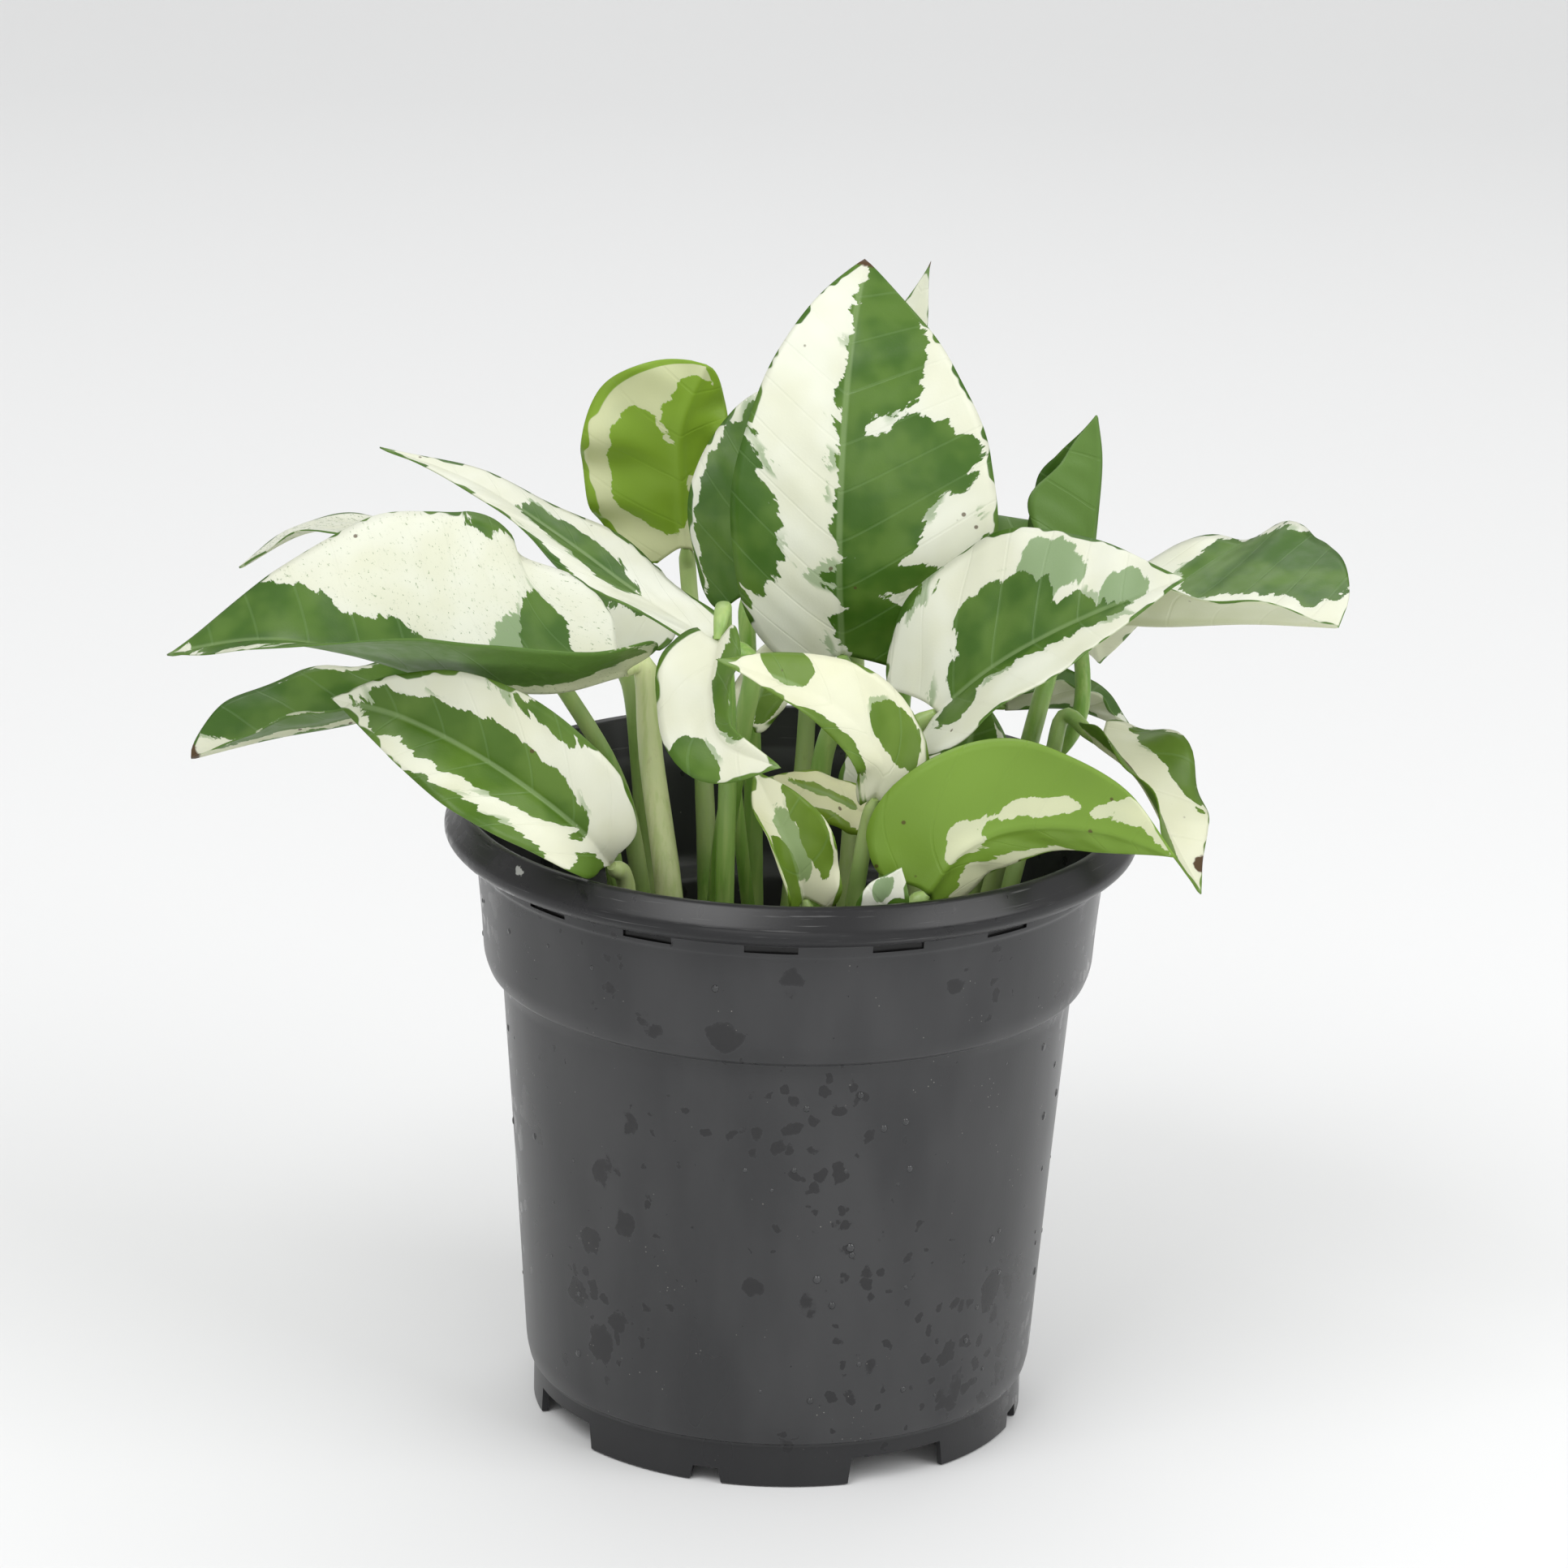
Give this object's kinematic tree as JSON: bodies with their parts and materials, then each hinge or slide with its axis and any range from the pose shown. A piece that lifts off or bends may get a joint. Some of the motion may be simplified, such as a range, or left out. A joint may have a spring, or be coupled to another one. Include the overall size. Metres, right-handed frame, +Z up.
{
  "type": "potted pothos plant",
  "caption": "Low leafy houseplant with cream and green heart-shaped leaves on separate stems, in a round black nursery pot with an overhanging rim and cut feet.",
  "frame": {"origin": "bottom centre of the whole plant's bounding box, on the ground", "axes": "+Z up, the plant's longest extent; -Y is the front; +Y is the shortest extent"},
  "size_m": [0.199, 0.1462, 0.2033],
  "materials": {
    "pot": "moulded black plastic, satin, with wet spots, droplets and scratches",
    "soil": "dark potting soil, matt, crumbly",
    "leaf_crown": "living leaf, cream and green patches, satin",
    "stem_crown": "living stem, green to pale cream, slightly glossy",
    "leaf_behind_crown": "living leaf, mostly green with cream edges, satin",
    "stem_behind_crown": "living stem, green to pale cream, slightly glossy",
    "leaf_back_left": "living leaf, mostly green with cream edges, satin",
    "stem_back_left": "living stem, green to pale cream, slightly glossy",
    "leaf_long_left": "living leaf, cream and green patches, satin",
    "stem_long_left": "living stem, green to pale cream, slightly glossy",
    "leaf_broad_left": "living leaf, cream and green patches, satin",
    "stem_broad_left": "living stem, green to pale cream, slightly glossy",
    "leaf_thin_far_left": "living leaf, cream and green patches, satin",
    "stem_thin_far_left": "living stem, green to pale cream, slightly glossy",
    "leaf_low_left": "living leaf, mostly green with cream edges, satin",
    "stem_low_left": "living stem, green to pale cream, slightly glossy",
    "leaf_rim_left": "living leaf, cream and green patches, satin",
    "stem_rim_left": "living stem, green to pale cream, slightly glossy",
    "leaf_curled_middle": "living leaf, cream and green patches, satin",
    "stem_curled_middle": "living stem, green to pale cream, slightly glossy",
    "leaf_arching": "living leaf, cream and green patches, satin",
    "stem_arching": "living stem, green to pale cream, slightly glossy",
    "leaf_right_fan": "living leaf, cream and green patches, satin",
    "stem_right_fan": "living stem, green to pale cream, slightly glossy",
    "leaf_behind_right": "living leaf, mostly green with cream edges, satin",
    "stem_behind_right": "living stem, green to pale cream, slightly glossy",
    "leaf_upright_fold": "living leaf, mostly green with cream edges, satin",
    "stem_upright_fold": "living stem, green to pale cream, slightly glossy",
    "leaf_far_right": "living leaf, cream and green patches, satin",
    "stem_far_right": "living stem, green to pale cream, slightly glossy",
    "leaf_low_right": "living leaf, mostly green with cream edges, satin",
    "stem_low_right": "living stem, green to pale cream, slightly glossy",
    "leaf_hanging_right": "living leaf, mostly green with cream edges, satin",
    "stem_hanging_right": "living stem, green to pale cream, slightly glossy",
    "leaf_front_right": "living leaf, mostly green with cream edges, satin",
    "stem_front_right": "living stem, green to pale cream, slightly glossy",
    "leaf_inner_right": "living leaf, mostly green with cream edges, satin",
    "stem_inner_right": "living stem, green to pale cream, slightly glossy",
    "leaf_small_yellow": "living leaf, mostly green with cream edges, satin",
    "stem_small_yellow": "living stem, green to pale cream, slightly glossy",
    "leaf_curly_new": "living leaf, cream and green patches, satin",
    "stem_curly_new": "living stem, green to pale cream, slightly glossy",
    "leaf_small_front": "living leaf, cream and green patches, satin",
    "stem_small_front": "living stem, green to pale cream, slightly glossy",
    "leaf_small_pale": "living leaf, cream and green patches, satin",
    "stem_small_pale": "living stem, green to pale cream, slightly glossy",
    "leaf_peeking_tip": "living leaf, cream and green patches, satin",
    "stem_peeking_tip": "living stem, green to pale cream, slightly glossy",
    "leaf_dark_inner": "living leaf, mostly green with cream edges, satin",
    "stem_dark_inner": "living stem, green to pale cream, slightly glossy",
    "leaf_rear_left": "living leaf, mostly green with cream edges, satin",
    "stem_rear_left": "living stem, green to pale cream, slightly glossy",
    "leaf_rear_middle": "living leaf, mostly green with cream edges, satin",
    "stem_rear_middle": "living stem, green to pale cream, slightly glossy",
    "leaf_rear_right": "living leaf, cream and green patches, satin",
    "stem_rear_right": "living stem, green to pale cream, slightly glossy"
  },
  "bodies": {
    "root": {"pot": "pot", "soil": "soil", "leaf_crown": "leaf_crown", "stem_crown": "stem_crown", "leaf_behind_crown": "leaf_behind_crown", "stem_behind_crown": "stem_behind_crown", "leaf_back_left": "leaf_back_left", "stem_back_left": "stem_back_left", "leaf_long_left": "leaf_long_left", "stem_long_left": "stem_long_left", "leaf_broad_left": "leaf_broad_left", "stem_broad_left": "stem_broad_left", "leaf_thin_far_left": "leaf_thin_far_left", "stem_thin_far_left": "stem_thin_far_left", "leaf_low_left": "leaf_low_left", "stem_low_left": "stem_low_left", "leaf_rim_left": "leaf_rim_left", "stem_rim_left": "stem_rim_left", "leaf_curled_middle": "leaf_curled_middle", "stem_curled_middle": "stem_curled_middle", "leaf_arching": "leaf_arching", "stem_arching": "stem_arching", "leaf_right_fan": "leaf_right_fan", "stem_right_fan": "stem_right_fan", "leaf_behind_right": "leaf_behind_right", "stem_behind_right": "stem_behind_right", "leaf_upright_fold": "leaf_upright_fold", "stem_upright_fold": "stem_upright_fold", "leaf_far_right": "leaf_far_right", "stem_far_right": "stem_far_right", "leaf_low_right": "leaf_low_right", "stem_low_right": "stem_low_right", "leaf_hanging_right": "leaf_hanging_right", "stem_hanging_right": "stem_hanging_right", "leaf_front_right": "leaf_front_right", "stem_front_right": "stem_front_right", "leaf_inner_right": "leaf_inner_right", "stem_inner_right": "stem_inner_right", "leaf_small_yellow": "leaf_small_yellow", "stem_small_yellow": "stem_small_yellow", "leaf_curly_new": "leaf_curly_new", "stem_curly_new": "stem_curly_new", "leaf_small_front": "leaf_small_front", "stem_small_front": "stem_small_front", "leaf_small_pale": "leaf_small_pale", "stem_small_pale": "stem_small_pale", "leaf_peeking_tip": "leaf_peeking_tip", "stem_peeking_tip": "stem_peeking_tip", "leaf_dark_inner": "leaf_dark_inner", "stem_dark_inner": "stem_dark_inner", "leaf_rear_left": "leaf_rear_left", "stem_rear_left": "stem_rear_left", "leaf_rear_middle": "leaf_rear_middle", "stem_rear_middle": "stem_rear_middle", "leaf_rear_right": "leaf_rear_right", "stem_rear_right": "stem_rear_right"}
  },
  "joints": []
}
